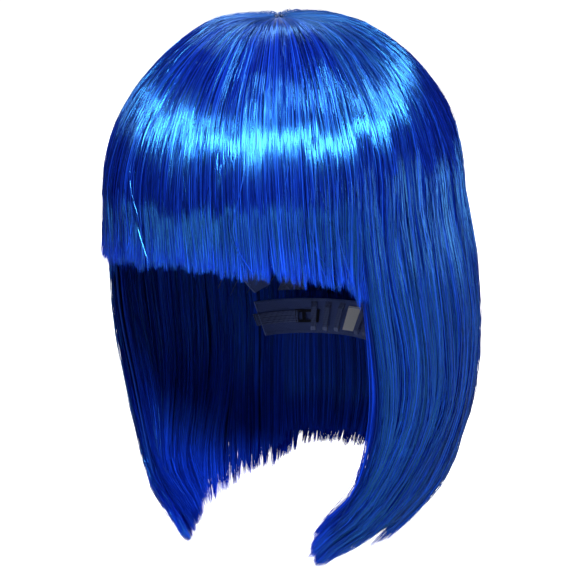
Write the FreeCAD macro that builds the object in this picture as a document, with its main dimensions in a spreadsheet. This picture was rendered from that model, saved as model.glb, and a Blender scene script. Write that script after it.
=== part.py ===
import FreeCAD
import Part

import os

import Sketcher
from FreeCAD import Placement, Rotation, Vector

# A bob wig with a fringe: an elastic cap that fits a head, rows of weft tape sewn on it, and the hair
# as closed shells, one for each layer of each section. Millimetres. +Z is up, the face looks along -Y,
# the wearer's left is +X, and the origin is the centre of the head, at the hat line.

SIZES = [
    # The head that the cap fits: half its width, half its length and its height over the hat line.
    ("head_wide", 78),
    ("head_long", 97),
    ("head_tall", 104),
    # Layers of the cap, each from one distance off the head to another.
    ("band_in", 0.7),
    ("band_out", 1.6),
    ("net_in", 1.75),
    ("net_out", 2.25),
    ("rib_in", 2.4),
    ("rib_out", 3.0),
    ("cross_in", 3.1),
    ("cross_out", 3.6),
    ("tape_in", 3.7),
    ("tape_out", 4.6),
    ("patch_in", 4.8),
    ("patch_out", 5.5),
    # Cap outline, seen from the side: the hairline falls from the forehead to the temple.
    ("hairline", 37),
    ("temple", 7.3),
    ("front_band_tall", 20),
    ("tab_front", -47.6),
    ("tab_back", -20),
    ("tab_tip", -26),
    ("tab_gap", 0.8),
    ("ear_arch", 2),
    ("ear_band_tall", 12),
    ("nape_corner", 42),
    ("net_nape", -58),
    ("rib_wide", 11),
    ("side_rib_place", 42),
    ("tape_tall", 4),
    ("tape_top", 72),
    ("tape_pitch", 16),
    ("patch_wide", 19),
    ("patch_long", 27),
    ("patch_place", -6),
    ("lining_rim", 3),
    # Nape band: part of a cone about an upright axis, so that the hooks slide round it.
    ("nape_axis", 21.2),
    ("nape_round", 45),
    ("nape_level", -70),
    ("nape_lean", 0.62),
    ("nape_tall", 18),
    ("nape_thick", 0.9),
    ("nape_angle", 72),
    ("label_tall", 12.6),
    ("label_angle", 10),
    ("label_thick", 0.35),
    ("stitch_gap", 0.15),
    ("loop_first", 8),
    ("loop_pitch", 10),
    ("loop_angle", 4),
    ("loop_tall", 15),
    ("loop_opening", 9),
    ("loop_depth", 2.7),
    ("loop_thick", 0.6),
    ("hook_tall", 6.6),
    ("hook_thick", 1.0),
    ("hook_lift", 0.5),
    ("hook_first", 26),
    ("hook_angle", 18),
    ("hook_hole_tall", 4.1),
    ("hook_eye_angle", 2.6),
    ("hook_catch_angle", 7),
    ("strap_tall", 6),
    ("strap_thick", 0.7),
    ("strap_end", 78),
    # Hair over the top of the head, and the two layers that all the hair has.
    ("dome_wide", 93),
    ("dome_long", 113),
    ("dome_tall", 105),
    ("dome_level", 12),
    ("layer_thick", 5),
    ("layer_gap", 0.6),
    ("under_thick", 4),
    ("seam", 0.4),
    # Where the hair is divided into sections, seen from above and from the side.
    ("fringe_side", -70),
    ("fringe_top", 35),
    ("fringe_end", -20),
    ("lock_back", 35),
    ("back_half", 55),
    ("hem_tip", -180),
    ("hem_side", -165),
    ("hem_back", -152),
    ("nape_hair_half", 50),
    ("nape_hair_end", -146),
]

# Ellipses that the outside of the hanging hair passes through: level, half width, half length, and how
# far the centre is behind the origin.
HAIR_SECTIONS = [
    (40, 90, 109.5, 0),
    (12, 93, 113, 0),
    (-25, 98, 117.5, 3),
    (-60, 100, 116, 8),
    (-100, 97, 106, 12),
    (-135, 89, 96, 11),
    (-160, 79, 86, 6),
    (-182, 66, 76, -2),
]
NAPE_SECTIONS = [
    (-58, 62, 82, 0),
    (-90, 74, 88, 4),
    (-125, 76, 86, 8),
    (-148, 68, 76, 10),
]
# Where each row of weft tape round the back begins, from the crown to the nape.
TAPE_STARTS = [40, 14, -4, -14, 14, 32, 42, 48]
LOOPS = 3
FAR = 150
TO_SIDE_VIEW = Rotation(Vector(1, 1, 1), 120)
SIDES = (("left", 1), ("right", -1))

doc = FreeCAD.newDocument("wig")
sheet = doc.addObject("Spreadsheet::Sheet", "sizes")
for row, (alias, value) in enumerate(SIZES, start=1):
    sheet.set(f"A{row}", alias)
    sheet.set(f"B{row}", str(value))
    sheet.setAlias(f"B{row}", alias)
doc.recompute()

ALIASES = {alias for alias, _ in SIZES}
subparts = []


def cell(text):
    """An expression whose words that are aliases refer to the sheet."""
    words = text.replace("(", " ( ").replace(")", " ) ").split()
    return " ".join("sizes." + word if word in ALIASES else word for word in words)


def number(text):
    """What an expression over the sheet comes to now."""
    return float(sheet.evalExpression(cell(text)))


def bind(thing, **expressions):
    """Binds properties of an object to expressions over the sheet."""
    for name, text in expressions.items():
        thing.setExpression(name, cell(text))
    return thing


def node(thing, label):
    """Marks an object as a sub-part with the name of its file."""
    thing.Label = label
    subparts.append(thing)
    return thing


def boolean(kind, name, first, second):
    made = doc.addObject(kind, name)
    made.Base = first
    made.Tool = second
    return made


def common(name, first, second):
    return boolean("Part::Common", name, first, second)


def cut(name, first, second):
    return boolean("Part::Cut", name, first, second)


def box(name, **sides):
    """A box from expressions for where it starts and ends along each axis."""
    made = doc.addObject("Part::Box", name)
    for length, axis in (("Length", "x"), ("Width", "y"), ("Height", "z")):
        start, end = sides[axis]
        made.setExpression(length, cell(f"( {end} ) - ( {start} )"))
        made.setExpression("Placement.Base." + axis, cell(start))
    return made


def drawn(sketch, points):
    """Draws a closed outline in a sketch through points given as pairs of expressions."""
    values = [Vector(number(across), number(up), 0) for across, up in points]
    for here, there in zip(values, values[1:] + values[:1]):
        sketch.addGeometry(Part.LineSegment(here, there), False)
    for i, (across, up) in enumerate(points):
        before = (i - 1) % len(points)
        sketch.addConstraint(Sketcher.Constraint("Coincident", before, 2, i, 1))
        for kind, text, value in (("DistanceX", across, values[i].x), ("DistanceY", up, values[i].y)):
            index = sketch.addConstraint(Sketcher.Constraint(kind, -1, 1, i, 1, value))
            sketch.setExpression(f"Constraints[{index}]", cell(text))
    return sketch


def prism(name, profile, direction, length):
    """A profile drawn out along a direction."""
    made = doc.addObject("Part::Extrusion", name)
    made.Base = profile
    made.DirMode = "Custom"
    made.Dir = direction
    made.LengthFwd = length
    made.Solid = True
    return made


def side_view(name, points, start=-FAR, end=FAR):
    """An outline seen from the side, as (y, z) expressions, drawn across the head from x to x."""
    sketch = doc.addObject("Sketcher::SketchObject", name + "_outline")
    sketch.Placement = Placement(Vector(start, 0, 0), TO_SIDE_VIEW)
    return prism(name, drawn(sketch, points), Vector(1, 0, 0), end - start)


def half_view(name, points, side):
    """The same on one side of the head only."""
    start, end = (0.5, FAR) if side > 0 else (-FAR, -0.5)
    return side_view(name, points, start, end)


# ---- Cap: net, bands, tabs, ribs, patch and weft tapes, each a patch of one layer off the head.


def head_grown(off):
    """The head, larger by a distance."""
    made = doc.addObject("Part::Ellipsoid", "head_" + off)
    made.Angle1 = -90
    return bind(
        made,
        Radius1=f"head_tall + {off}",
        Radius2=f"head_wide + {off}",
        Radius3=f"head_long + {off}",
    )


cap_layers = {}


def cap_layer(layer):
    """The whole shell of one layer of the cap."""
    if layer not in cap_layers:
        outer, inner = head_grown(layer + "_out"), head_grown(layer + "_in")
        cap_layers[layer] = cut(layer + "_layer", outer, inner)
    return cap_layers[layer]


def cap_piece(label, layer, region):
    """The part of one layer of the cap that lies in a region."""
    return node(common(label, cap_layer(layer), region), label)


def make_net():
    region = side_view(
        "net_region",
        [
            (f"-{FAR}", "hairline + 6"),
            ("-90", "hairline + 6"),
            ("tab_front", "ear_arch + ear_band_tall - 4"),
            ("14", "ear_arch + ear_band_tall - 4"),
            ("nape_corner + 2", "net_nape + 30"),
            ("nape_corner + 14", "net_nape"),
            (f"{FAR}", "net_nape"),
            (f"{FAR}", f"{FAR}"),
            (f"-{FAR}", f"{FAR}"),
        ],
    )
    cap_piece("crown_net", "net", region)


def make_front_band():
    region = side_view(
        "front_band_region",
        [
            ("0 - head_long - 6", "hairline"),
            ("0 - head_long - 6", "hairline + front_band_tall"),
            ("tab_front - seam", "temple + front_band_tall"),
            ("tab_front - seam", "temple"),
        ],
    )
    cap_piece("front_band", "band", region)


def make_side_bands():
    """A band from the temple, over the ear and down behind it to the nape."""
    for name, side in SIDES:
        region = half_view(
            name + "_side_band_region",
            [
                ("tab_front", "0"),
                ("tab_front", "temple + front_band_tall"),
                ("tab_back", "ear_arch + ear_band_tall + 2"),
                ("14", "ear_arch + ear_band_tall"),
                ("nape_corner + 4", "net_nape + 32"),
                ("nape_corner + 14", "net_nape + 4"),
                ("nape_corner + 4", "net_nape"),
                ("nape_corner - 8", "net_nape + 28"),
                ("10", "ear_arch"),
                ("tab_back", "ear_arch"),
                ("tab_back", "0"),
            ],
            side,
        )
        cap_piece(name + "_side_band", "band", region)


def make_ear_tabs():
    """A tab in front of each ear, with a thin stay along it that keeps it flat on the temple."""
    for name, side in SIDES:
        tab = half_view(
            name + "_ear_tab_region",
            [
                ("tab_front", "0 - tab_gap"),
                ("tab_front + 3", "tab_tip + 8"),
                ("tab_front + 9", "tab_tip"),
                ("tab_back - 10", "tab_tip"),
                ("tab_back - 4", "tab_tip + 9"),
                ("tab_back", "0 - tab_gap"),
            ],
            side,
        )
        cap_piece(name + "_ear_tab", "band", tab)
        stay = half_view(
            name + "_stay_region",
            [
                ("tab_front + 11", "-3"),
                ("tab_front + 11", "tab_tip + 4"),
                ("tab_front + 12", "tab_tip + 3"),
                ("tab_front + 14", "tab_tip + 3"),
                ("tab_front + 15", "tab_tip + 4"),
                ("tab_front + 15", "-3"),
            ],
            side,
        )
        cap_piece(name + "_ear_tab_stay", "net", stay)


def make_ribs():
    """Three elastic ribbons from front to nape, and one over the top from ear to ear."""
    behind_front = side_view(
        "rib_region",
        [
            ("0 - head_long - 6", "hairline + 8"),
            ("tab_front", "temple + 11"),
            ("14", "ear_arch + 8"),
            ("nape_corner + 4", "net_nape + 30"),
            ("nape_corner + 16", "net_nape"),
            (f"{FAR}", "net_nape"),
            (f"{FAR}", f"{FAR}"),
            (f"-{FAR}", f"{FAR}"),
        ],
    )
    ribs = common("rib_shell", cap_layer("rib"), behind_front)
    for name, place in (("left", "side_rib_place"), ("centre", "0"), ("right", "0 - side_rib_place")):
        strip = box(
            name + "_rib_strip",
            x=(f"{place} - rib_wide * 0.5", f"{place} + rib_wide * 0.5"),
            y=(f"-{FAR}", f"{FAR}"),
            z=(f"-{FAR}", f"{FAR}"),
        )
        node(common(name + "_rib", ribs, strip), name + "_rib")
    strip = box(
        "cross_rib_strip",
        x=(f"-{FAR}", f"{FAR}"),
        y=("0 - rib_wide * 0.5", "rib_wide * 0.5"),
        z=("ear_arch + 8", f"{FAR}"),
    )
    cap_piece("cross_rib", "cross", strip)


def oval(name, rim_grown):
    """An upright oval column over the crown."""
    rim = doc.addObject("Part::Ellipse", name + "_rim")
    bind(rim, MajorRadius=f"patch_long + {rim_grown}", MinorRadius=f"patch_wide + {rim_grown}")
    rim.Placement.Rotation = Rotation(Vector(0, 0, 1), 90)
    rim.setExpression("Placement.Base.y", cell("patch_place"))
    return prism(name, rim, Vector(0, 0, 1), FAR)


def make_patch():
    """The oval of thin skin that the crown hair is rooted in, and its soft lining under the net."""
    cap_piece("crown_skin_patch", "patch", oval("patch_oval", "0"))
    cap_piece("patch_lining", "band", oval("lining_oval", "lining_rim"))


def make_tapes():
    """Rows of weft tape: eight round the back, one behind the hairline and one over each ear."""
    for i, start in enumerate(TAPE_STARTS):
        low = f"tape_top - tape_pitch * {i}"
        slab = box(
            f"tape_slab_{i + 1}",
            x=(f"-{FAR}", f"{FAR}"),
            y=(f"{start}", f"{FAR}"),
            z=(low, low + " + tape_tall"),
        )
        cap_piece(f"back_weft_tape_{i + 1}", "tape", slab)
    region = side_view(
        "front_tape_region",
        [
            ("0 - head_long - 8", "hairline + front_band_tall + 3"),
            ("0 - head_long - 8", "hairline + front_band_tall + 7"),
            ("tab_front + 8", "temple + front_band_tall + 4"),
            ("tab_front + 8", "temple + front_band_tall"),
        ],
    )
    cap_piece("front_weft_tape", "tape", region)
    for name, side in SIDES:
        region = half_view(
            name + "_lock_tape_region",
            [
                ("tab_front + 2", "ear_arch + 11"),
                ("tab_front + 2", "ear_arch + 15"),
                ("12", "ear_arch + 10"),
                ("12", "ear_arch + 6"),
            ],
            side,
        )
        cap_piece(name + "_lock_weft_tape", "tape", region)


# ---- Nape adjuster: everything lies along one cone and turns about its upright axis.


def on_cone(height, off):
    """A point of the cone's section as expressions: radius from the axis, and level."""
    radius = f"nape_round + nape_lean * ( {height} ) + ( {off} )"
    return radius, f"nape_level + ( {height} )"


def flat_strip(tall, near, far):
    """The section of a thin strip that lies along the cone, centred on the band."""
    low, high = f"0 - {tall} * 0.5", f"{tall} * 0.5"
    return [on_cone(low, near), on_cone(low, far), on_cone(high, far), on_cone(high, near)]


def turned(label, section, first, sweep, side=1):
    """A section revolved about the nape axis, through a sweep from a first angle.

    Angles are from straight back, positive towards the wearer's left, or the right on that side."""
    body = doc.addObject("PartDesign::Body", label + "_body")
    sketch = body.newObject("Sketcher::SketchObject", label + "_section")
    planes = {feature.Role: feature for feature in body.Origin.OriginFeatures}
    sketch.AttachmentSupport = [(planes["XZ_Plane"], "")]
    sketch.MapMode = "FlatFace"
    drawn(sketch, section)
    revolution = body.newObject("PartDesign::Revolution", label + "_turn")
    revolution.Profile = sketch
    revolution.ReferenceAxis = (sketch, ["V_Axis"])
    bind(revolution, Angle=sweep)
    begins = f"90 - ( {first} ) - ( {sweep} )" if side > 0 else f"90 + ( {first} )"
    body.Placement = Placement(Vector(0, number("nape_axis"), 0), Rotation(Vector(0, 0, 1), number(begins)))
    return body


def make_nape_band():
    band = flat_strip("nape_tall", "0", "nape_thick")
    node(turned("nape_band", band, "0 - nape_angle", "nape_angle * 2"), "nape_band")
    tag = flat_strip("label_tall", "0 - stitch_gap - label_thick", "0 - stitch_gap")
    node(turned("care_label", tag, "0 - label_angle * 0.5", "label_angle"), "care_label")


def make_loops(name, side):
    """A row of low arches on the inside of the nape band, which the hook slides through."""
    foot = "0 - stitch_gap"
    side_foot = "0 - stitch_gap - loop_thick"
    top = "0 - loop_depth"
    arch = [
        on_cone("0 - loop_tall * 0.5", foot),
        on_cone("loop_tall * 0.5", foot),
        on_cone("loop_tall * 0.5", side_foot),
        on_cone("loop_opening * 0.5 + loop_thick", top),
        on_cone("0 - loop_opening * 0.5 - loop_thick", top),
        on_cone("0 - loop_tall * 0.5", side_foot),
    ]
    channel = flat_strip("loop_opening", "loop_thick - loop_depth", "1")
    loops = []
    for i in range(LOOPS):
        first = f"loop_first + loop_pitch * {i}"
        outside = turned(f"{name}_loop_{i}_arch", arch, first, "loop_angle", side)
        inside = turned(f"{name}_loop_{i}_channel", channel, first + " - 1", "loop_angle + 2", side)
        loops.append(cut(f"{name}_loop_{i}", outside, inside))
    group = doc.addObject("Part::Compound", name + "_loops")
    group.Links = loops
    node(group, name + "_hook_loops")


def make_hook(name, side):
    """A flat plate with an eye for the strap at one end and an open window behind its catch."""
    lift = "0 - hook_lift"
    plate = flat_strip("hook_tall", lift + " - hook_thick", lift)
    hole = flat_strip("hook_hole_tall", "-5", "5")
    blank = turned(name + "_hook_plate", plate, "hook_first", "hook_angle", side)
    eye_first = "hook_first + hook_angle - hook_eye_angle * 2"
    eye = turned(name + "_hook_eye", hole, eye_first, "hook_eye_angle", side)
    catch = turned(name + "_hook_catch", hole, "hook_first + 3", "hook_catch_angle", side)
    with_eye = cut(name + "_hook_with_eye", blank, eye)
    node(cut(name + "_hook_whole", with_eye, catch), name + "_hook")


def make_strap(name, side):
    """The elastic from the hook's eye to the end of the nape band."""
    lift = "0 - hook_lift"
    section = flat_strip("strap_tall", lift + " - strap_thick", lift)
    first = "hook_first + hook_angle + seam"
    node(turned(name + "_elastic", section, first, f"strap_end - ( {first} )", side), name + "_strap")


# ---- Hair: shells between an outer and an inner surface, cut into sections.

UNDER_OUT = "layer_thick + layer_gap"
UNDER_IN = "layer_thick + layer_gap + under_thick"


def column(name, sections, off):
    """A closed column of hair whose outside passes through ellipses, smaller by a distance."""
    rings = []
    for i, (level, wide, length, centre) in enumerate(sections):
        ring = doc.addObject("Part::Ellipse", f"{name}_ring_{i}")
        bind(ring, MajorRadius=f"{length} - ( {off} )", MinorRadius=f"{wide} - ( {off} )")
        ring.Placement = Placement(Vector(0, centre, level), Rotation(Vector(0, 0, 1), 90))
        rings.append(ring)
    made = doc.addObject("Part::Loft", name)
    made.Sections = rings
    made.Solid = True
    return made


def shell_of(name, sections, outside, inside):
    """The hair between two distances in from the outside of a column."""
    outer = column(name + "_outside", sections, outside)
    return cut(name, outer, column(name + "_inside", sections, inside))


def dome(name, off):
    """The rounded top of the hair, smaller by a distance."""
    made = doc.addObject("Part::Ellipsoid", name)
    made.Angle1 = -90
    made.setExpression("Placement.Base.z", cell("dome_level"))
    return bind(
        made,
        Radius1=f"dome_tall - ( {off} )",
        Radius2=f"dome_wide - ( {off} )",
        Radius3=f"dome_long - ( {off} )",
    )


def make_crown_hair():
    over = side_view(
        "crown_region",
        [
            (f"-{FAR}", "fringe_top + seam"),
            ("fringe_side + seam", "fringe_top + seam"),
            ("fringe_side + seam", "dome_level + seam"),
            (f"{FAR}", "dome_level + seam"),
            (f"{FAR}", f"{FAR}"),
            (f"-{FAR}", f"{FAR}"),
        ],
    )
    outer = cut("dome_shell", dome("dome_outside", "0"), dome("dome_inside", "layer_thick"))
    node(common("crown_top", outer, over), "crown_hair")
    under = cut("teased_shell", dome("teased_outside", UNDER_OUT), dome("teased_inside", UNDER_IN))
    round_patch = cut("teased_round_patch", under, oval("teased_oval", "lining_rim"))
    node(common("teased_top", round_patch, over), "crown_teased_underlayer")


def in_two_layers(name, region):
    """A section of the hair: its outer layer and the layer under it."""
    node(common(name + "_outer", outer_shell, region), name + "_hair")
    node(common(name + "_under", under_shell, region), name + "_underlayer")


def make_fringe():
    front = box(
        "fringe_region",
        x=(f"-{FAR}", f"{FAR}"),
        y=(f"-{FAR}", "fringe_side"),
        z=("fringe_end", "fringe_top"),
    )
    in_two_layers("fringe", front)


def make_locks():
    """The sections beside the face and over the ears, which end in a point beside the chin."""
    side_of_face = [
        ("fringe_side + seam", "dome_level"),
        ("lock_back", "dome_level"),
        ("lock_back", "hem_side"),
        ("-10", "hem_side - 8"),
        ("-40", "hem_tip"),
        ("-54", "hem_tip + 9"),
        ("-38", "hem_tip + 40"),
        ("-34", "hem_tip + 80"),
        ("-38", "fringe_end - 34"),
        ("-52", "fringe_end - 3"),
        ("fringe_side + seam", "fringe_end"),
    ]
    for name, side in SIDES:
        in_two_layers(name + "_lock", half_view(name + "_lock_region", side_of_face, side))


def make_back():
    """The sections behind the ears, which stay put, and the back section between them, which lifts."""
    behind = [
        ("lock_back + seam", "dome_level"),
        (f"{FAR}", "dome_level"),
        (f"{FAR}", "hem_back"),
        ("100", "hem_back"),
        ("lock_back + seam", "hem_side"),
    ]
    side_start = number("back_half + seam")
    back_half = number("back_half")
    in_two_layers("left_side", side_view("left_side_region", behind, side_start, FAR))
    in_two_layers("right_side", side_view("right_side_region", behind, -FAR, -side_start))
    in_two_layers("back", side_view("back_region", behind, -back_half, back_half))


def make_nape_hair():
    """The short innermost layer, which hangs from the lowest rows of tape."""
    strip = box(
        "nape_hair_region",
        x=("0 - nape_hair_half", "nape_hair_half"),
        y=("20", f"{FAR}"),
        z=("nape_hair_end", "net_nape"),
    )
    node(common("nape_strip", shell_of("nape_shell", NAPE_SECTIONS, "0", "under_thick"), strip), "nape_hair")


make_net()
make_front_band()
make_side_bands()
make_ear_tabs()
make_ribs()
make_patch()
make_tapes()
make_nape_band()
for side_name, side_sign in SIDES:
    make_loops(side_name, side_sign)
    make_hook(side_name, side_sign)
    make_strap(side_name, side_sign)
outer_shell = shell_of("outer_shell", HAIR_SECTIONS, "0", "layer_thick")
under_shell = shell_of("under_shell", HAIR_SECTIONS, UNDER_OUT, UNDER_IN)
make_crown_hair()
make_fringe()
make_locks()
make_back()
make_nape_hair()
doc.recompute()

failed = [thing.Label for thing in doc.Objects if {"Invalid", "Error"} & set(thing.State)]
if failed:
    raise SystemExit(f"failed objects: {failed}")

os.makedirs("parts", exist_ok=True)
for part in subparts:
    shape = part.Shape
    if shape.isNull() or not shape.isValid() or not shape.Solids:
        raise SystemExit(f"{part.Label} has no valid solid")
    solids = shape.Solids
    whole = solids[0] if len(solids) == 1 else Part.makeCompound(solids)
    whole.exportStep(f"parts/{part.Label}.step")
    print(f"{part.Label}: {len(solids)} solid(s), {whole.Volume:.0f} mm3")
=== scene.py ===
import math

import bpy
import numpy as np
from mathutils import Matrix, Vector


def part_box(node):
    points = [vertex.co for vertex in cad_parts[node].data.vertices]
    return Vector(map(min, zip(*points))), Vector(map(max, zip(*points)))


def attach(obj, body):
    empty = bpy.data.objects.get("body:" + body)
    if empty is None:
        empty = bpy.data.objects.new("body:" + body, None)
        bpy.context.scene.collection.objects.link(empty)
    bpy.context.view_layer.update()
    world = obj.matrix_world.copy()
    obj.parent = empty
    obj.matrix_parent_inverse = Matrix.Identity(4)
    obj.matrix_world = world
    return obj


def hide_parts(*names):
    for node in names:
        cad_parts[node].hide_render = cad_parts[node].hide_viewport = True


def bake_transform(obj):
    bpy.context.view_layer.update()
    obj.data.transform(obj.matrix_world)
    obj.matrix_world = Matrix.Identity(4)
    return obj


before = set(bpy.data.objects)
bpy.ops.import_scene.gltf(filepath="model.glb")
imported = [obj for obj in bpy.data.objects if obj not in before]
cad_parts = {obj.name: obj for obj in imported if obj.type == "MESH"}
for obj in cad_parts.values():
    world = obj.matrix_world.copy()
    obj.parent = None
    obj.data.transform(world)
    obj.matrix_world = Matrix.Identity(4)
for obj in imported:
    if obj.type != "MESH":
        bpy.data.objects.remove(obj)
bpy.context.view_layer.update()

# A blue bob wig with a full fringe, in metres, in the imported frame: +Z is up, the face looks along -Y and
# the wearer's left is +X. Angles round the head are in degrees from the face, positive to the left.
# The hair is fibres combed over the outside of the CAD's hair. The cap under it keeps its CAD pieces, and
# gets a net of crossing threads, elastic straps and stitches.

MM = 0.001
TURN = math.pi / 180
SIDES = (("left", 1), ("right", -1))

# ---- Sizes, from the frame where it holds them.

crown_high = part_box("crown_hair")[1]
net_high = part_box("crown_net")[1]
lock_low, lock_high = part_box("left_lock_hair")
patch_low, patch_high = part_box("crown_skin_patch")
DOME_LEVEL = lock_high[2]
DOME_TALL = crown_high[2] - DOME_LEVEL
DOME_WIDE = crown_high[0]
DOME_LONG = crown_high[1]
WHORL = ((patch_low[0] + patch_high[0]) / 2, (patch_low[1] + patch_high[1]) / 2)
HEM_TIP = lock_low[2]
# Level, half width, half length and centre of the hanging hair's outside, as in the CAD, and one row below.
HANGING = [
    (DOME_LEVEL, DOME_WIDE, DOME_LONG, 0),
    (-25 * MM, 98 * MM, 117.5 * MM, 3 * MM),
    (-60 * MM, 100 * MM, 116 * MM, 8 * MM),
    (-100 * MM, 97 * MM, 106 * MM, 12 * MM),
    (-135 * MM, 89 * MM, 96 * MM, 11 * MM),
    (-160 * MM, 79 * MM, 86 * MM, 6 * MM),
    (-182 * MM, 66 * MM, 76 * MM, -2 * MM),
    (-200 * MM, 55 * MM, 66 * MM, -9 * MM),
]
# The same for the short layer of hair in the nape, which reaches a little past the CAD's at both ends.
NAPE = [
    (-45 * MM, 58 * MM, 80 * MM, -2 * MM),
    (-58 * MM, 62 * MM, 82 * MM, 0),
    (-90 * MM, 74 * MM, 88 * MM, 4 * MM),
    (-125 * MM, 76 * MM, 86 * MM, 8 * MM),
    (-155 * MM, 66 * MM, 74 * MM, 10 * MM),
]
# The head's half width, half length and height. The last two follow from the net, which lies this far off it.
NET_OFF = 2.25 * MM
HEAD = (78 * MM, net_high[1] - NET_OFF, net_high[2] - NET_OFF)
# Angles from the face where the sections of the hair meet. The short nape layer lies under the others.
LOCK_START = 64
FRINGE_SIDE = 66
SIDE_START = 106
BACK_START = 146
BACK_END = 360 - BACK_START
NAPE_START = 137


def smooth(x, low, high):
    """0 below low, 1 above high, and a smooth step between."""
    x = np.clip((x - low) / (high - low), 0, 1)
    return x * x * (3 - 2 * x)


def unit(v):
    return v / np.maximum(np.linalg.norm(v, axis=-1, keepdims=True), 1e-12)


def rounded(points, steps=12):
    """A smooth line through rows of numbers (Catmull-Rom)."""
    rows = np.array([points[0], *points, points[-1]], float)
    made = []
    for before, here, there, after in zip(rows, rows[1:], rows[2:], rows[3:]):
        for t in np.arange(steps) / steps:
            square = (2 * before - 5 * here + 4 * there - after) * t**2
            cube = (3 * here - before - 3 * there + after) * t**3
            made.append(here + ((there - before) * t + square + cube) / 2)
    return np.array([*made, rows[-1]])


class Outside:
    """The outside of a layer of hair: ellipses one under another, and distances down it from its top."""

    def __init__(self, rows, whorl=(0, 0)):
        self.levels, self.wide, self.long, self.centre = np.array(rows).T
        steps = np.hypot(np.diff(self.levels), np.diff((self.wide + self.long) / 2))
        self.run = np.concatenate([[0], np.cumsum(steps)])
        self.whorl = whorl

    def down_to(self, level):
        return np.interp(-np.asarray(level), -self.levels, self.run)

    def level(self, down):
        return np.interp(down, self.run, self.levels)

    def radius(self, down):
        return np.interp(down, self.run, (self.wide + self.long) / 2)

    def at(self, angle, down):
        """Points at an angle in degrees and a distance down."""
        angle = angle * TURN
        near_top = 1 - smooth(down, 0, 90 * MM)
        x = np.interp(down, self.run, self.wide) * np.sin(angle) + self.whorl[0] * near_top
        y = np.interp(down, self.run, self.centre) - np.interp(down, self.run, self.long) * np.cos(angle)
        return np.stack([x, y + self.whorl[1] * near_top, self.level(down)], -1)

    def normal(self, angle, down):
        across = self.at(angle + 0.5, down) - self.at(angle - 0.5, down)
        along = self.at(angle, down + 0.5 * MM) - self.at(angle, down - 0.5 * MM)
        return unit(np.cross(along, across))


def dome_rows(steps=40):
    turn = np.linspace(math.pi / 2, 0, steps)[:-1]
    level = DOME_LEVEL + DOME_TALL * np.sin(turn)
    return np.stack([level, DOME_WIDE * np.cos(turn), DOME_LONG * np.cos(turn), 0 * turn], 1)


HAIR_OUTSIDE = Outside(np.concatenate([dome_rows(), rounded(HANGING)]), WHORL)
NAPE_OUTSIDE = Outside(rounded(NAPE))

# ---- Meshes


def put(name, mesh, material):
    made = bpy.data.objects.new(name, mesh)
    bpy.context.scene.collection.objects.link(made)
    made.data.materials.append(material)
    return made


def grid_mesh(name, sheets, maps, closed=False):
    """A mesh of grids, each (rows, columns, 3), with their map places. A closed grid is a tube."""
    quads = []
    first = 0
    for sheet in sheets:
        index = first + np.arange(sheet[..., 0].size).reshape(sheet.shape[:2])
        first += index.size
        if closed:
            index = np.concatenate([index, index[:, :1]], 1)
        corners = (index[:-1, :-1], index[1:, :-1], index[1:, 1:], index[:-1, 1:])
        quads.append(np.stack(corners, -1).reshape(-1, 4))
    quads = np.concatenate(quads)
    points = np.concatenate([sheet.reshape(-1, 3) for sheet in sheets])
    uv = np.concatenate([places.reshape(-1, 2) for places in maps])
    mesh = bpy.data.meshes.new(name)
    mesh.vertices.add(len(points))
    mesh.vertices.foreach_set("co", points.reshape(-1).astype(np.float32))
    mesh.loops.add(quads.size)
    mesh.loops.foreach_set("vertex_index", quads.reshape(-1).astype(np.int32))
    mesh.polygons.add(len(quads))
    mesh.polygons.foreach_set("loop_start", np.arange(0, quads.size, 4, dtype=np.int32))
    mesh.polygons.foreach_set("use_smooth", np.ones(len(quads), bool))
    layer = mesh.uv_layers.new(name="OFBake")
    layer.data.foreach_set("uv", uv[quads.reshape(-1)].reshape(-1).astype(np.float32))
    mesh.update(calc_edges=True)
    return mesh


# A fibre takes one of this many columns of its piece's map, and so one of as many tints.
TINTS = 128
FIBRE_STEPS = 25


def column_map(rng, count, across, t):
    """Map places for fibres: a column each, from root to tip along t."""
    u = (rng.integers(0, TINTS, count)[:, None, None] + across[None, None, :]) / TINTS
    shape = (count, len(t), len(across))
    return np.stack([np.broadcast_to(u, shape), np.broadcast_to(t[None, :, None], shape)], -1)


def ribbons(name, paths, normals, width, rng, material):
    """Fibres as narrow roofed ribbons along paths (fibres, steps, 3), with the ridge outward."""
    count, steps, _ = paths.shape
    across = unit(np.cross(np.gradient(paths, axis=1), normals))
    up = unit(np.cross(across, np.gradient(paths, axis=1)))
    roll = rng.normal(0, 0.35, (count, 1, 1))
    across, up = across * np.cos(roll) + up * np.sin(roll), up * np.cos(roll) - across * np.sin(roll)
    t = np.linspace(0, 1, steps)
    taper = np.minimum(1, 0.35 + t * 8) * np.sqrt(np.clip((1 - t) * 12, 0.02, 1))
    half = (width * rng.uniform(0.7, 1.3, count))[:, None, None] * taper[None, :, None] / 2
    eaves = paths - up * half * 0.8
    points = np.stack([eaves - across * half, paths, eaves + across * half], 2)
    maps = column_map(rng, count, np.array([0.04, 0.5, 0.96]), t)
    return put(name, grid_mesh(name, points, maps), material)


def tubes(name, routes, thick, material, sides=4):
    """Round threads along routes, each a row of points."""
    rng = np.random.default_rng(seed_of(name))
    turn = np.arange(sides) / sides * 2 * math.pi
    wide = np.cos(turn)[None, :, None] * thick / 2
    tall = np.sin(turn)[None, :, None] * thick / 2
    sheets, maps = [], []
    for route in routes:
        along = unit(np.gradient(route, axis=0))
        across = unit(np.cross(along, unit(np.array([0.31, 0.17, 0.94]))))
        up = np.cross(across, along)
        sheets.append(route[:, None] + across[:, None] * wide + up[:, None] * tall)
        maps.append(column_map(rng, 1, np.linspace(0.1, 0.9, sides), np.linspace(0, 1, len(route)))[0])
    return put(name, grid_mesh(name, sheets, maps, closed=True), material)


def seed_of(text):
    """A seed from a name, the same on every run."""
    total = 7
    for letter in text:
        total = (total * 31 + ord(letter)) % 1000003
    return total


# ---- Materials


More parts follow.
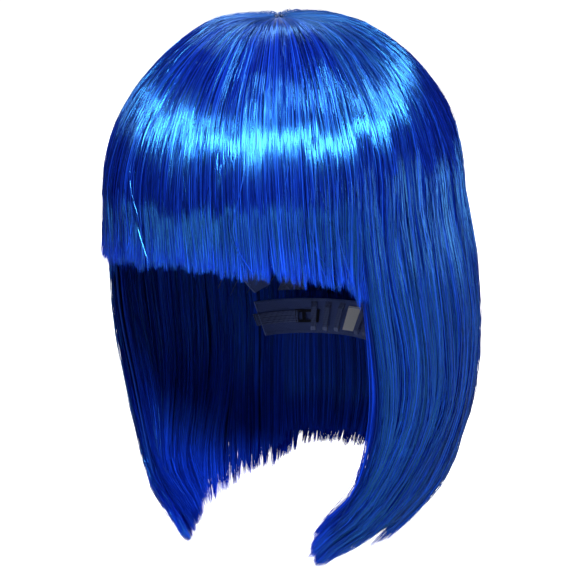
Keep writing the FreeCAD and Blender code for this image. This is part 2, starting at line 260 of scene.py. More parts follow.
def new_material(name):
    made = bpy.data.materials.new(name)
    made.use_nodes = True
    nodes = made.node_tree.nodes
    return made, nodes, made.node_tree.links, nodes["Principled BSDF"]


def ramp_node(nodes, stops):
    ramp = nodes.new("ShaderNodeValToRGB")
    elements = ramp.color_ramp.elements
    while len(elements) < len(stops):
        elements.new(0.5)
    for element, (place, colour) in zip(elements, stops):
        element.position = place
        element.color = (*colour, 1)
    return ramp


def maths(nodes, links, operation, first, second=None):
    """A Math node on sockets or numbers."""
    node = nodes.new("ShaderNodeMath")
    node.operation = operation
    for socket, value in zip(node.inputs, (first, second)):
        if hasattr(value, "is_linked"):
            links.new(value, socket)
        elif value is not None:
            socket.default_value = value
    return node.outputs[0]


def fibre_material(name, tints, along, rough, gloss=(0.06, 0.4, 1.0), ior=2.1):
    """Glossy synthetic fibre: each fibre has a tint of its own, times painted shade and light that change
    from root to tip.

    The roots are duller, where the hair is teased."""
    made, nodes, links, shader = new_material(name)
    place = nodes.new("ShaderNodeUVMap")
    place.uv_map = "OFBake"
    split = nodes.new("ShaderNodeSeparateXYZ")
    links.new(place.outputs["UV"], split.inputs[0])
    column = maths(nodes, links, "FLOOR", maths(nodes, links, "MULTIPLY", split.outputs["X"], TINTS))
    random = nodes.new("ShaderNodeTexWhiteNoise")
    random.noise_dimensions = "1D"
    links.new(column, random.inputs["W"])
    tint = ramp_node(nodes, tints)
    links.new(random.outputs["Value"], tint.inputs["Fac"])
    # Painted shade and light along the fibre: this ramp darkens the roots and brightens the tips.
    shade = ramp_node(nodes, [(spot, (value,) * 3) for spot, value in along])
    links.new(split.outputs["Y"], shade.inputs["Fac"])
    mix = nodes.new("ShaderNodeMix")
    mix.data_type = "RGBA"
    mix.blend_type = "MULTIPLY"
    mix.inputs["Factor"].default_value = 1
    links.new(tint.outputs["Color"], mix.inputs["A"])
    links.new(shade.outputs["Color"], mix.inputs["B"])
    links.new(mix.outputs["Result"], shader.inputs["Base Color"])
    roughness = nodes.new("ShaderNodeMapRange")
    roughness.inputs["To Min"].default_value = rough * 0.75
    roughness.inputs["To Max"].default_value = rough * 1.35
    links.new(random.outputs["Value"], roughness.inputs["Value"])
    roots = ramp_node(nodes, [(0.0, (0.4,) * 3), (0.22, (0.0,) * 3)])
    links.new(split.outputs["Y"], roots.inputs["Fac"])
    duller = maths(nodes, links, "ADD", roughness.outputs["Result"], roots.outputs["Color"])
    links.new(duller, shader.inputs["Roughness"])
    shader.inputs["Specular IOR Level"].default_value = 1.0
    shader.inputs["Specular Tint"].default_value = (*gloss, 1)
    shader.inputs["IOR"].default_value = ior
    return made


# The directions that a cloth's waves run in, and how many waves each has for one of the finest.
WEAVES = {
    "plain": (("X", 1.0), ("Z", 1.0), ("Y", 1.0)),
    "ribbed": (("Z", 1.0), ("X", 0.5)),
}
# Blender's wave texture repeats at this length when its scale is 1.
WAVE_LENGTH = 2 * math.pi / 20


def textured(name, kind, thread, dark, light, rough, sheen=0.0, bump=0.25):
    """Cloth with its threads this far apart: "plain" crosses them, and "ribbed" has ridges along it."""
    made, nodes, links, shader = new_material(name)
    place = nodes.new("ShaderNodeTexCoord").outputs["Object"]
    height = None
    for direction, share in WEAVES[kind]:
        wave = nodes.new("ShaderNodeTexWave")
        wave.bands_direction = direction
        wave.inputs["Scale"].default_value = WAVE_LENGTH * share / thread
        wave.inputs["Distortion"].default_value = 0.4
        links.new(place, wave.inputs["Vector"])
        value = wave.outputs["Fac"]
        height = value if height is None else maths(nodes, links, "ADD", height, value)
    noise = nodes.new("ShaderNodeTexNoise")
    noise.inputs["Scale"].default_value = 90
    noise.inputs["Detail"].default_value = 4
    links.new(place, noise.inputs["Vector"])
    # The colour follows the threads' height: painted shade in the hollows between threads and painted
    # highlight on their crests, with random tone from the noise.
    both = maths(nodes, links, "ADD", maths(nodes, links, "MULTIPLY", noise.outputs["Fac"], 0.5), height)
    colour = ramp_node(nodes, [(0.15, dark), (0.9, light)])
    links.new(both, colour.inputs["Fac"])
    links.new(colour.outputs["Color"], shader.inputs["Base Color"])
    bumps = nodes.new("ShaderNodeBump")
    bumps.inputs["Strength"].default_value = bump
    bumps.inputs["Distance"].default_value = thread / 3
    links.new(height, bumps.inputs["Height"])
    links.new(bumps.outputs["Normal"], shader.inputs["Normal"])
    shader.inputs["Roughness"].default_value = rough
    shader.inputs["Sheen Weight"].default_value = sheen
    return made


def skin_material():
    """Dull film with fine pores, and the dark knots that the crown hair is rooted by."""
    made, nodes, links, shader = new_material("skin_film")
    place = nodes.new("ShaderNodeTexCoord").outputs["Object"]
    knots = nodes.new("ShaderNodeTexVoronoi")
    knots.inputs["Scale"].default_value = 1 / (1.6 * MM)
    links.new(place, knots.inputs["Vector"])
    knot, rim, film = (0.004, 0.015, 0.13), (0.01, 0.03, 0.2), (0.15, 0.155, 0.27)
    colour = ramp_node(nodes, [(0.0, knot), (0.24, rim), (0.4, film)])
    links.new(knots.outputs["Distance"], colour.inputs["Fac"])
    links.new(colour.outputs["Color"], shader.inputs["Base Color"])
    pores = nodes.new("ShaderNodeTexNoise")
    pores.inputs["Scale"].default_value = 1 / (0.8 * MM)
    links.new(place, pores.inputs["Vector"])
    bumps = nodes.new("ShaderNodeBump")
    bumps.inputs["Strength"].default_value = 0.3
    bumps.inputs["Distance"].default_value = 0.2 * MM
    links.new(pores.outputs["Fac"], bumps.inputs["Height"])
    links.new(bumps.outputs["Normal"], shader.inputs["Normal"])
    shader.inputs["Roughness"].default_value = 0.5
    return made


def plastic_material():
    """Moulded plastic with slightly uneven gloss."""
    made, nodes, links, shader = new_material("moulded_plastic")
    place = nodes.new("ShaderNodeTexCoord").outputs["Object"]
    grain = nodes.new("ShaderNodeTexNoise")
    grain.inputs["Scale"].default_value = 900
    links.new(place, grain.inputs["Vector"])
    gloss = nodes.new("ShaderNodeMapRange")
    gloss.inputs["To Min"].default_value = 0.22
    gloss.inputs["To Max"].default_value = 0.42
    links.new(grain.outputs["Fac"], gloss.inputs["Value"])
    links.new(gloss.outputs["Result"], shader.inputs["Roughness"])
    colour = ramp_node(nodes, [(0.3, (0.012, 0.013, 0.02)), (0.7, (0.02, 0.022, 0.035))])
    links.new(grain.outputs["Fac"], colour.inputs["Fac"])
    links.new(colour.outputs["Color"], shader.inputs["Base Color"])
    return made


# Painted shade and light along each fibre, from root to tip: dark at the root, dimmer through the middle and
# much lighter at the tip.
PAINTED_ROOT_SHADE_TIP_LIGHT = [(0.0, 0.5), (0.3, 0.8), (0.6, 0.75), (0.86, 0.75), (0.93, 1.2), (1.0, 2.3)]
HAIR = fibre_material(
    "hair_fibre",
    [
        (0.0, (0.0007, 0.0025, 0.085)),
        (0.4, (0.001, 0.006, 0.2)),
        (0.8, (0.0025, 0.017, 0.39)),
        (1.0, (0.009, 0.07, 0.8)),
    ],
    PAINTED_ROOT_SHADE_TIP_LIGHT,
    rough=0.185,
)
# The under layer's ramp paints milder shade at the roots and light at the tips.
INNER = fibre_material(
    "inner_hair_fibre",
    [(0.0, (0.0008, 0.007, 0.14)), (0.5, (0.002, 0.019, 0.35)), (1.0, (0.005, 0.05, 0.7))],
    [(0.0, 0.8), (0.8, 1.0), (1.0, 1.3)],
    rough=0.36,
    gloss=(0.06, 0.3, 1.0),
    ior=1.45,
)
# Painted shade: the base sheet's tints are far darker than the fibres', for the depth of the hair under them.
BASE_PAINTED_SHADE = fibre_material(
    "hair_base",
    [(0.0, (0.0005, 0.004, 0.07)), (0.6, (0.001, 0.01, 0.15)), (1.0, (0.002, 0.018, 0.26))],
    PAINTED_ROOT_SHADE_TIP_LIGHT,
    rough=0.5,
    gloss=(0.06, 0.3, 1.0),
    ior=1.4,
)
THREAD = fibre_material(
    "sewing_thread",
    [(0.0, (0.09, 0.16, 0.46)), (1.0, (0.17, 0.28, 0.68))],
    [(0.0, 0.9), (1.0, 1.1)],
    rough=0.5,
    gloss=(1.0, 1.0, 1.0),
    ior=1.5,
)
NET_THREAD = fibre_material(
    "net_thread",
    [(0.0, (0.045, 0.065, 0.19)), (1.0, (0.09, 0.13, 0.34))],
    [(0.0, 0.9), (1.0, 1.1)],
    rough=0.55,
    gloss=(1.0, 1.0, 1.0),
    ior=1.5,
)
# Each cloth's dark and light colours are painted shade in its weave's hollows and painted highlight on its
# crests.
SATIN = textured("satin_band", "plain", 0.7 * MM, (0.03, 0.046, 0.16), (0.085, 0.13, 0.38), 0.38, 0.2)
ELASTIC = textured("ribbed_elastic", "ribbed", 0.9 * MM, (0.025, 0.037, 0.12), (0.09, 0.13, 0.32), 0.6, 0.3)
TAPE = textured("weft_tape", "ribbed", 0.8 * MM, (0.012, 0.027, 0.15), (0.03, 0.075, 0.42), 0.5, 0.2)
LINING = textured("soft_lining", "plain", 0.5 * MM, (0.10, 0.12, 0.2), (0.2, 0.23, 0.34), 0.8, 0.4)
LABEL = textured("label_satin", "plain", 0.4 * MM, (0.55, 0.56, 0.58), (0.75, 0.76, 0.78), 0.45, 0.2)
SKIN = skin_material()
PLASTIC = plastic_material()

# ---- Hair

# The hem's levels in mm at angles from the face.
HEM_ANGLES = [60, 66, 75, 90, 106, 125, 145, 180]
HEM_LEVELS = [-169, -175, -183, -190, -184, -170, -159, -155]


def hem_level(angle, rng):
    """Where the hanging hair ends, by angle: lowest beside the chin, and a little longer on the right."""
    away = np.minimum(np.abs(angle), 180)
    level = np.interp(away, HEM_ANGLES, HEM_LEVELS) * MM
    longer = 7 * MM * (angle < 0) * (1 - smooth(away, 66, 88))
    return level - longer + np.abs(rng.normal(0, 2.2 * MM, angle.shape)) - 1.5 * MM


def under_hem_level(angle, rng):
    return hem_level(angle, rng) + 4 * MM


def fringe_level(angle, rng):
    """Where the fringe ends: a shallow arch over the eyes, which falls into the locks at its sides."""
    level = (-10 - 11 * (angle / 60) ** 2 - 1.5 * np.maximum(np.abs(angle) - 57, 0)) * MM
    return level + np.abs(rng.normal(0, 3 * MM, angle.shape)) - 1.5 * MM


def nape_level(angle, rng):
    return -146 * MM + np.abs(rng.normal(0, 2 * MM, angle.shape))


def forward_sweep(angle, level):
    """How far, in degrees, the hair turns towards the face as it nears the hem."""
    away = np.abs(angle)
    most = 0.62 * np.maximum(away - 44, 0) * (1 - smooth(away, 82, 132))
    return np.sign(angle) * most * smooth(-level, 70 * MM, 192 * MM) ** 1.7


def clumps(rng, angles, breadth):
    """Divides sorted angles into clumps: each fibre's clump, its middle, and the fibre's place in it."""
    widths = rng.uniform(0.5, 1.5, 2 * len(angles)) * breadth
    edges = angles[0] + np.concatenate([[0], np.cumsum(widths)])
    index = np.searchsorted(edges, angles, side="right") - 1
    middle = (edges[index] + edges[index + 1]) / 2
    return index, middle[:, None], ((angles - middle) / (edges[index + 1] - edges[index]) * 2)[:, None]


def waves(rng, distance, shortest, longest, group=None):
    """A smooth random wander between -1 and 1 along fibres. Fibres of one group share it."""
    group = np.arange(len(distance)) if group is None else group
    total = 0
    for _ in range(3):
        length = rng.uniform(shortest, longest, group.max() + 1)[group][:, None]
        phase = rng.uniform(0, 2 * math.pi, group.max() + 1)[group][:, None]
        total = total + np.sin(2 * math.pi * distance / length + phase)
    return total / 3


# How hair is combed, in mm and degrees: how deep under the outside the fibres lie, how far down they start,
# and a power that is lower where fewer start near the top. Then the breadth of the broad and fine clumps,
# how far the fine ones draw together, how uneven their ends are, how far the hair leans to the left, and
# how much it wanders. Last the depth that roots are sunk by, how far the ends curl in, the share of
# flyaways, and the width of a fibre.
COMBED = {
    "depth": (-1, 3.5),
    "start": (4, 85),
    "sparse": 0.65,
    "broad": 9,
    "fine": 1.7,
    "tight": 0.12,
    "uneven": 0.6,
    "lean": 0,
    "loose": 1.0,
    "root_depth": 5.5,
    "curl": 2,
    "flyaways": 0.02,
    "width": 0.38,
}
# How far above its end a fibre starts to draw together and to curl in, and how far below its root it is
# still sunk.
GATHER_OVER = 55 * MM
CURL_OVER = 45 * MM
SINK_OVER = 38 * MM


def comb(rng, surface, angles, start, ends, depth, style):
    """Paths and normals of fibres combed down a surface, drawn together into clumps towards their ends.

    Fine clumps lie in broad ones. The fibres wander a little, in their clumps and alone, the more the further
    down they reach, and the clumps bulge in their middles. The roots are sunk, and the ends curl in."""
    fine, fine_middle, fine_place = clumps(rng, angles, style["fine"])
    broad, broad_middle, broad_place = clumps(rng, angles, style["broad"])
    last = surface.down_to(ends) + rng.normal(0, style["uneven"] * MM, fine.max() + 1)[fine]
    last = last + rng.normal(0, 1.1 * MM, broad.max() + 1)[broad]
    down = start[:, None] + (last - start)[:, None] * np.linspace(0, 1, FIBRE_STEPS)[None, :]
    reach = smooth(down, 30 * MM, 240 * MM)
    to_end = last[:, None] - down
    gather = style["tight"] * (1 - smooth(to_end, 0, GATHER_OVER)) ** 1.5 + 0.15 * reach
    angle = fine_middle + (angles[:, None] - fine_middle) * (1 - gather)
    angle = angle + (broad_middle - angle) * 0.12 * reach
    angle = angle - forward_sweep(angles[:, None], surface.level(down))
    edge = np.cos(angles[:, None] / FRINGE_SIDE * math.pi / 2)
    angle = angle + style["lean"] * edge * smooth(down, 70 * MM, 210 * MM)
    sideways = waves(rng, down, 0.12, 0.3, broad) * 2.2 * reach
    sideways = sideways + waves(rng, down, 0.1, 0.25, fine) * 0.9 * reach
    sideways = sideways + waves(rng, down, 0.08, 0.25) * (0.25 + 0.6 * reach)
    radius = np.maximum(surface.radius(down), 12 * MM)
    angle = angle + style["loose"] * sideways * MM / radius / TURN
    sink = style["root_depth"] * (1 - smooth(down - start[:, None], 0, SINK_OVER))
    ridge = broad_place**2 * (0.2 + 1.4 * reach) + fine_place**2 * 0.5 * reach
    swell = smooth(down, 25 * MM, 90 * MM)
    relief = waves(rng, down, 0.06, 0.16, broad) * 1.3 * swell
    relief = relief + waves(rng, down, 0.05, 0.12, fine) * 0.5 * swell
    relief = relief + waves(rng, down, 0.07, 0.22) * 0.25
    curl = style["curl"] * (1 - smooth(to_end, 0, CURL_OVER)) ** 1.5
    under = depth[:, None] + (sink + ridge + curl + style["loose"] * relief) * MM
    normals = surface.normal(angle, down)
    return surface.at(angle, down) - normals * under[..., None], normals


def stray(rng, points, normals, share):
    """Lifts a few fibres off the rest and lets them wander."""
    count, steps, _ = points.shape
    t = np.linspace(0, 1, steps)[None, :, None]
    across = unit(np.cross(np.gradient(points, axis=1), normals))
    off = rng.uniform(0.2, 1, (count, 1, 1)) * 3 * MM * t
    side = waves(rng, np.tile(np.linspace(0, 0.3, steps), (count, 1)), 0.12, 0.4)[..., None] * 9 * MM * t
    loose = rng.random(count) < share
    return np.where(loose[:, None, None], points + normals * off + across * side, points)


def settle(piece, body, replaced):
    """Hair on the cap rides on it; other hair has its placement baked into its points, and the CAD pieces
    that it replaces are hidden.
    """
    if body == "cap":
        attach(piece, body)
    else:
        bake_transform(piece)
    if replaced:
        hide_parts(*replaced)


def section(name, body, angles, count, ends, replaced, material=HAIR, surface=HAIR_OUTSIDE, **changes):
    """One piece of combed hair between two angles."""
    style = {**COMBED, **changes}
    rng = np.random.default_rng(seed_of(name))
    low, high = sorted(angles)
    place = low + (high - low) * (np.arange(count) + rng.uniform(0, 1, count)) / count
    first, last = style["start"]
    lateness = rng.uniform(0, 1, count) ** style["sparse"]
    shallow, deep = style["depth"]
    depth = shallow + (deep - shallow) * (lateness * 0.75 + rng.uniform(0, 0.25, count))
    start = (first + (last - first) * lateness) * MM
    paths, normals = comb(rng, surface, place, start, ends(place, rng), depth * MM, style)
    paths = stray(rng, paths, normals, style["flyaways"])
    piece = ribbons(name, paths, normals, style["width"] * MM, rng, material)
    settle(piece, body, replaced)


def hair_base(name, body, low, high, bottom, replaced, depth=4.8, thick=0.8, columns=90, rows=40):
    """A thin grooved sheet of dense hair under the fibres of a section, so that no light comes through,
    coloured darker than the fibres as painted shade.
    """
    rng = np.random.default_rng(seed_of(name))
    surface = HAIR_OUTSIDE
    angle = np.tile(np.linspace(low, high, columns), (rows, 1))
    down = np.linspace(30 * MM, float(surface.down_to(bottom)), rows)[:, None] * np.ones((1, columns))
    angle = angle - forward_sweep(angle, surface.level(down))
    groove = rng.normal(0, 0.35, columns)[None, :] * np.ones((rows, 1))
    normals = surface.normal(angle, down)
    outer = surface.at(angle, down) - normals * (depth + groove)[..., None] * MM
    thickness = np.full((rows, 1, 1), thick * MM)
    thickness[[0, -1]] = 0
    inner = outer - normals * thickness
    points = np.concatenate([outer, inner[:, ::-1]], 1)[None]
    across = np.concatenate([np.linspace(0, 0.999, columns), np.linspace(0.999, 0, columns)])
    v = np.linspace(0.1, 0.75, rows)[:, None] * np.ones((1, 2 * columns))
    uv = np.stack([np.tile(across, (rows, 1)), v], -1)[None]
    settle(put(name, grid_mesh(name, points, uv, closed=True), BASE_PAINTED_SHADE), body, replaced)


# A piece has at most this many fibres, so that it stays light enough to handle.
MOST_FIBRES = 1950
# Hair that starts near the whorl.
FROM_TOP = {"start": (3, 60), "sparse": 0.85}
# The inner layer of the hanging hair: deeper, and rooted lower.
HANGING_UNDER = {"depth": (6, 9), "start": (110, 150), "root_depth": 3}


def make_fringe():
    whole = (-FRINGE_SIDE, FRINGE_SIDE)
    even = {"fine": 1.7, "tight": 0.26, "uneven": 1.3, "lean": 5}
    section("fringe_fibres", "fringe", whole, MOST_FIBRES, fringe_level, ["fringe_hair"], **FROM_TOP, **even)
    section("fringe_middle_fibres", "fringe", whole, MOST_FIBRES, fringe_level, [], start=(40, 90), **even)
    inner = {"depth": (5.5, 8), "start": (90, 120), "root_depth": 2, "tight": 0.2, "uneven": 0.7}
    section("fringe_under_fibres", "fringe", whole, 900, fringe_level, ["fringe_underlayer"], INNER, **inner)
    hair_base("fringe_base", "fringe", -LOCK_START, LOCK_START, 4 * MM, ["crown_hair"])


def make_locks_and_sides():
    for name, side in SIDES:
        for part, body, low, high, count, curl, bottom in (
            ("_lock", name + "_lock", LOCK_START, SIDE_START, MOST_FIBRES, 11, -162 * MM),
            ("_side", "cap", SIDE_START, BACK_START, 1600, 4, -149 * MM),
        ):
            label = name + part
            angles = (side * low, side * high)
            section(label + "_fibres", body, angles, count, hem_level, [label + "_hair"], curl=curl)
            under = {**HANGING_UNDER, "replaced": [label + "_underlayer"], "curl": curl}
            section(label + "_under_fibres", body, angles, 900, under_hem_level, material=INNER, **under)
            hair_base(label + "_base", body, *sorted(angles), bottom, [])


def make_back():
    angles = (BACK_START, BACK_END)
    section("back_fibres", "back", angles, 1500, hem_level, ["back_hair"], **FROM_TOP)
    section("back_middle_fibres", "back", angles, 1500, hem_level, [], start=(40, 90))
    under = {**HANGING_UNDER, "replaced": ["back_underlayer"]}
    section("back_under_fibres", "back", angles, 1100, under_hem_level, material=INNER, **under)
    hair_base("back_base", "back", BACK_START, BACK_END, -142 * MM, ["crown_teased_underlayer"])
    short = {"depth": (0, 3.6), "start": (12, 20), "root_depth": 1, "surface": NAPE_OUTSIDE}
    angles = (NAPE_START, 360 - NAPE_START)
    section("nape_fibres", "cap", angles, 1500, nape_level, ["nape_hair"], INNER, **short)


# ---- Cap


def on_cap(off, across, up):
    """Points off the head at an angle across from the face and an angle up, both in degrees."""
    wide, long_, tall = (half + off for half in HEAD)
    across, up = np.broadcast_arrays(across * TURN, up * TURN)
    x = wide * np.cos(up) * np.sin(across)
    y = -long_ * np.cos(up) * np.cos(across)
    return np.stack([x, y, tall * np.sin(up)], -1)


def cap_normal(points):
    return unit(points / np.square(HEAD))


def up_to_line(off, across, line):
    """The angle up at which the cap crosses a line of the side view, level as a function of y."""
    low, high = np.full(len(across), -60.0), np.full(len(across), 75.0)
    for _ in range(30):
        middle = (low + high) / 2
        spot = on_cap(off, across, middle)
        above = spot[:, 2] > line(spot[:, 1])
        low, high = np.where(above, low, middle), np.where(above, middle, high)
    return middle


def net_edge(y):
    """The lower edge of the net, seen from the side."""
    along = np.array([-120, -90, -47.6, 14, 44, 56, 120]) * MM
    level = np.array([43, 43, 10, 10, -28, -58, -58]) * MM
    return np.interp(y, along, level)


def make_net(threads=44, steps=60, top=76, fall=116, twist=115):
    """Two crossing families of threads that run down from the crown patch to the edge of the cap.

    A thread starts this many degrees up, at the top, and winds round by the twist over the fall."""
    start = np.arange(threads) / threads * 360
    off = NET_OFF - 0.25 * MM
    routes = []
    for way in (1, -1):
        # Where a thread ends depends on how far it has wound by then, so it is found in a few rounds.
        bottom = up_to_line(off, start + way * twist * 0.8, net_edge)
        for _ in range(8):
            share = (top - bottom) / fall
            bottom = up_to_line(off, start + way * twist * share, net_edge)
        for first, last in zip(start, bottom):
            up = np.linspace(top, last, steps)
            routes.append(on_cap(off, first + way * twist * (top - up) / fall, up))
    piece = tubes("crown_net_threads", routes, 0.45 * MM, NET_THREAD)
    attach(piece, "cap")
    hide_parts("crown_net")


def evenly(route, pitch):
    """Points this far apart along a route."""
    run = np.concatenate([[0], np.cumsum(np.linalg.norm(np.diff(route, axis=0), axis=1))])
    spots = np.linspace(0, run[-1], max(int(run[-1] / pitch), 2))
    return np.stack([np.interp(spots, run, route[:, i]) for i in range(3)], 1)


def zigzag(route, normal_of, pitch=1.5 * MM, wide=1.4 * MM):
    """A zigzag stitch along a route."""
    points = evenly(route, pitch / 2)
    across = unit(np.cross(normal_of(points), np.gradient(points, axis=0)))
    swing = np.where(np.arange(len(points)) % 2, 0.5, -0.5)[:, None] * wide
    return points + across * swing


def sewn(name, routes, body="cap", thick=0.35 * MM):
    """Stitches along routes, as one piece."""
    piece = tubes(name, routes, thick, THREAD)
    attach(piece, body)


def beside_head(off, side, points):
    """A route on the side of the cap through points given as y and level."""
    fine = rounded(points, 10)
    wide, long_, tall = (half + off for half in HEAD)
    x = side * wide * np.sqrt(1 - (fine[:, 0] / long_) ** 2 - (fine[:, 1] / tall) ** 2)
    return np.column_stack([x, fine])


# Sewing lines in the side view (y, level) in mm, a little inside the edges of the bands.
SIDE_BAND_LOW = [(-19, 3.4), (-5, 3.4), (9, 3.4), (20, -10), (35, -30), (45, -54)]
SIDE_BAND_HIGH = [(-45, 25), (-32, 20), (-20, 14.6), (-3, 12.8), (13, 12.4), (28, -5), (44, -25), (54, -52)]
# Stitches of the bands and tapes lie this far off the head, on the inner face of each.
BAND_IN = 0.5 * MM
TAPE_IN = 3.55 * MM
# The numbers of the weft tapes round the back, from the crown to the nape.
TAPE_ROWS = range(1, 9)
# The front band's lower edge, seen from the side: its place over the brow (y, level), and how steeply it
# falls towards the ear.
BROW = (-103 * MM, 37 * MM)
BROW_SLOPE = -0.535


def front_line(rise):
    """A line along the front band, this many mm above its lower edge, seen from the side."""

    def level(y):
        return BROW[1] + rise * MM + (y - BROW[0]) * BROW_SLOPE

    return level


def around_front(off, line, reach):
    across = np.linspace(-reach, reach, 160)
    return on_cap(off, across, up_to_line(off, across, line))


def make_band_stitches():
    """A zigzag along both edges of the front band and of each side band."""
    routes = [zigzag(around_front(BAND_IN, front_line(rise), 58), cap_normal) for rise in (1.8, 18)]
    for _, side in SIDES:
        for points in (SIDE_BAND_LOW, SIDE_BAND_HIGH):
            route = beside_head(BAND_IN, side, np.array(points) * MM)
            routes.append(zigzag(route, cap_normal))
    sewn("band_stitches", routes)


def make_tape_stitches():
    """Two rows of stitches along each back weft tape, which hold the folded hair."""
    ends_in, shift_out, steps = 2, 1.1 * MM, 140
    routes = []
    for i in TAPE_ROWS:
        low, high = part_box(f"back_weft_tape_{i}")
        level = (low[2] + high[2]) / 2
        start = math.degrees(math.atan2(high[0], -low[1] * HEAD[0] / HEAD[1]))
        across = np.linspace(start + ends_in, 360 - ends_in - start, steps)
        for shift in (-shift_out, shift_out):
            up = math.degrees(math.asin((level + shift) / (HEAD[2] + TAPE_IN)))
            route = on_cap(TAPE_IN, across, up)
            routes.append(zigzag(route, cap_normal, pitch=3 * MM, wide=0.7 * MM))
    sewn("weft_tape_stitches", routes, thick=0.3 * MM)


# The nape band lies on a cone about an upright axis: where the axis is, the cone's radius at a level, and
# how much wider it gets for each metre up. These are the CAD's sizes.
NAPE_AXIS = np.array([0, 21.2 * MM])
NAPE_ROUND = 45 * MM
NAPE_LEVEL = -70 * MM
NAPE_LEAN = 0.62
# Where the hook loops are on each side, in degrees from straight back.
LOOP_ANGLES = (10, 20, 30)


def on_nape(angle, height, off):
    """Points along the nape band's cone. Angles are in degrees from straight back."""
    radius = NAPE_ROUND + NAPE_LEAN * height + off
    angle = angle * TURN
    x = radius * np.sin(angle) + NAPE_AXIS[0]
    y = radius * np.cos(angle) + NAPE_AXIS[1]
    return np.stack(np.broadcast_arrays(x, y, NAPE_LEVEL + height), -1)


def nape_normal(points):
    away = points - np.array([*NAPE_AXIS, 0])
    return unit(away * np.array([1, 1, 0]))


def make_nape_stitches():
    """Stitches along both edges of the nape band, along the label's top and at the feet of the hook loops."""
    band_half, label_half, loop_half = 71, 4.6, 1.7
    angle = np.linspace(-band_half, band_half, 150)
    routes = [zigzag(on_nape(angle, height * MM, -0.12 * MM), nape_normal) for height in (-8, 8)]
    label = np.linspace(-label_half, label_half, 12)
    routes.append(zigzag(on_nape(label, 5.6 * MM, -0.6 * MM), nape_normal, pitch=1 * MM, wide=0.4 * MM))
    for side in (1, -1):
        for middle in LOOP_ANGLES:
            for height in (-6.4, 6.4):
                angle = side * middle + np.linspace(-loop_half, loop_half, 6)
                foot = on_nape(angle, height * MM, -0.9 * MM)
                routes.append(zigzag(foot, nape_normal, pitch=0.8 * MM, wide=0.8 * MM))
    sewn("nape_stitches", routes)


def make_straps():
    """Ribbed elastic from each hook's eye to the end of the nape band, where it is sewn on."""
    eye, end = 42.2, 77.8
    thick, tall = 0.7 * MM, 6 * MM
    across, ribs_round = 17, 8
    round_it = 2 * across
    # The strap is fast to the band beyond one of these angles, and to the hook beyond the other.
    fast_to_band, fast_to_hook = 74.0, 47.0
    for name, side in SIDES:
        angle = np.linspace(eye, end, 90)[:, None]
        # Round the section: the outer face, then the inner, with fine ribs along both.
        face = np.linspace(-0.5, 0.5, across)
        height = np.concatenate([face, face[::-1]])[None, :] * tall
        ribs = 0.08 * MM * np.cos(np.linspace(0, 2 * math.pi * ribs_round, round_it))[None, :]
        inside = np.where(np.arange(round_it) < across, 0, 1)[None, :]
        off = -0.5 * MM - inside * thick + ribs * (1 - 2 * inside)
        over_bar = 0.9 * MM * (1 - smooth(angle, eye + 0.6, eye + 2.4))
        points = on_nape(side * angle, height, off + 0.5 * over_bar - inside * over_bar)
        u = np.linspace(0, 0.99, round_it)[None, :]
        maps = np.stack(np.broadcast_arrays(u, (angle - eye) / (end - eye)), -1)
        label = name + "_elastic_strap"
        strap = put(label, grid_mesh(label, [points], [maps], closed=True), ELASTIC)
        start = on_nape(np.array(side * fast_to_band), np.array(0.0), 0)
        finish = on_nape(np.array(side * fast_to_hook), np.array(0.0), 0)
        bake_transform(strap)
        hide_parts(name + "_strap")
        routes = []
        for at in (73.5, 76.5):
            line = on_nape(np.full(10, side * at), np.linspace(-2.6, 2.6, 10) * MM, -1.35 * MM)
            routes.append(zigzag(line, nape_normal, pitch=1 * MM, wide=0.5 * MM))
        sewn(name + "_strap_stitches", routes)


def dress(material, *names):
    """Gives CAD pieces their material."""
    for name in names:
        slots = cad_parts[name].data.materials
        slots.clear()
        slots.append(material)


def dress_cap():
    dress(SKIN, "crown_skin_patch")
    dress(LINING, "patch_lining")
    dress(LABEL, "care_label")
    dress(SATIN, "front_band", "nape_band")
    dress(ELASTIC, "left_rib", "centre_rib", "right_rib", "cross_rib")
    dress(TAPE, "front_weft_tape", *(f"back_weft_tape_{i}" for i in TAPE_ROWS))
    for name, _ in SIDES:
        dress(SATIN, name + "_side_band", name + "_ear_tab")
        dress(TAPE, name + "_lock_weft_tape")
        dress(PLASTIC, name + "_hook", name + "_ear_tab_stay")
        dress(ELASTIC, name + "_hook_loops")


# ---- Floor, lights and camera


def seen_directly(nodes, links, seen, unseen):
    """A strength of one number for what the camera sees itself, and another for what lights the object."""
    path = nodes.new("ShaderNodeLightPath")
    node = nodes.new("ShaderNodeMapRange")
    node.inputs["To Min"].default_value = unseen
    node.inputs["To Max"].default_value = seen
    links.new(path.outputs["Is Camera Ray"], node.inputs["Value"])
    return node.outputs["Result"]


def make_floor():
    bpy.ops.mesh.primitive_plane_add(size=30, location=(0, 0, HEM_TIP - 40 * MM))
    floor = bpy.context.object
    floor.name = "floor"
    made, nodes, links, shader = new_material("floor")
    links.new(seen_directly(nodes, links, 0.85, 0.25), shader.inputs["Base Color"])
    shader.inputs["Roughness"].default_value = 0.9
    shader.inputs["Emission Color"].default_value = (1, 1, 1, 1)
    links.new(seen_directly(nodes, links, 0.97, 0), shader.inputs["Emission Strength"])
    floor.data.materials.append(made)


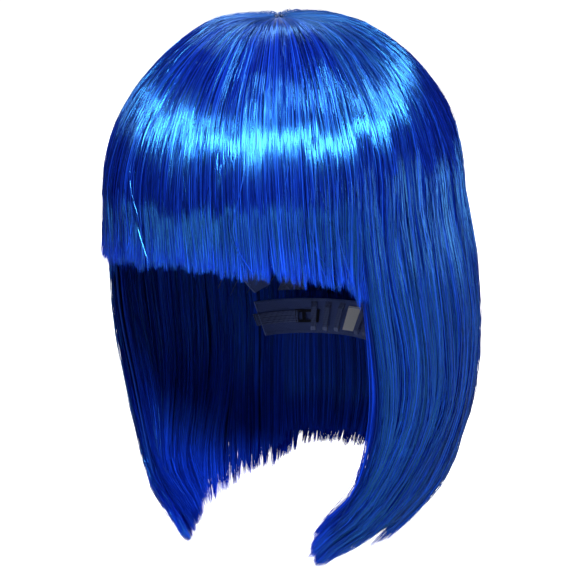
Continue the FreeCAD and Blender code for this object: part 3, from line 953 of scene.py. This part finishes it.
def aimed(azimuth, elevation, distance):
    """A place round the object: azimuth 0 is in front of the face, and positive is on the wearer's left."""
    across, up = azimuth * TURN, elevation * TURN
    away = distance * math.cos(up)
    return Vector((away * math.sin(across), -away * math.cos(across), distance * math.sin(up)))


def point_at(thing, target):
    thing.rotation_euler = (target - thing.location).to_track_quat("-Z", "Y").to_euler()
    bpy.context.scene.collection.objects.link(thing)


def softbox(name, place, size, power):
    """A rectangular lamp with its width and height in metres and its power in watts."""
    data = bpy.data.lights.new(name, "AREA")
    data.shape = "RECTANGLE"
    data.size, data.size_y = size
    data.energy = power
    made = bpy.data.objects.new(name, data)
    made.location = place
    point_at(made, Vector((0, 0, -30 * MM)))


def make_lights():
    softbox("key", aimed(46, 38, 1.6), (1.0, 0.24), 46)
    softbox("left_key", aimed(-28, 45, 1.6), (0.35, 0.24), 15)
    softbox("side_key", aimed(122, 45, 1.6), (0.5, 0.25), 15)
    softbox("right_fill", aimed(-75, 30, 1.8), (0.5, 0.5), 6)
    softbox("low_front", aimed(15, -6, 1.6), (1.0, 0.2), 2.8)
    softbox("back", aimed(225, 52, 1.7), (1.2, 0.25), 13)
    softbox("low_side", aimed(132, 0, 1.6), (0.5, 0.3), 4)
    softbox("low_back", aimed(215, 5, 1.8), (0.8, 0.6), 4.5)
    world = bpy.data.worlds.new("studio")
    bpy.context.scene.world = world
    world.use_nodes = True
    nodes, links = world.node_tree.nodes, world.node_tree.links
    background = nodes["Background"]
    background.inputs["Color"].default_value = (1, 1, 1, 1)
    links.new(seen_directly(nodes, links, 1.0, 0.06), background.inputs["Strength"])


def make_camera():
    distance = 1.5
    seen_width = 0.32
    data = bpy.data.cameras.new("camera")
    data.sensor_width = 36
    data.lens = data.sensor_width * distance / seen_width
    made = bpy.data.objects.new("camera", data)
    centre = Vector((0.9, 0.6, -40.5)) * MM
    made.location = centre + aimed(35, 12, distance)
    point_at(made, centre)
    bpy.context.scene.camera = made


make_fringe()
make_locks_and_sides()
make_back()
make_net()
make_band_stitches()
make_tape_stitches()
make_nape_stitches()
make_straps()
dress_cap()
make_floor()
make_lights()
make_camera()
bpy.context.scene.view_settings.view_transform = "Standard"
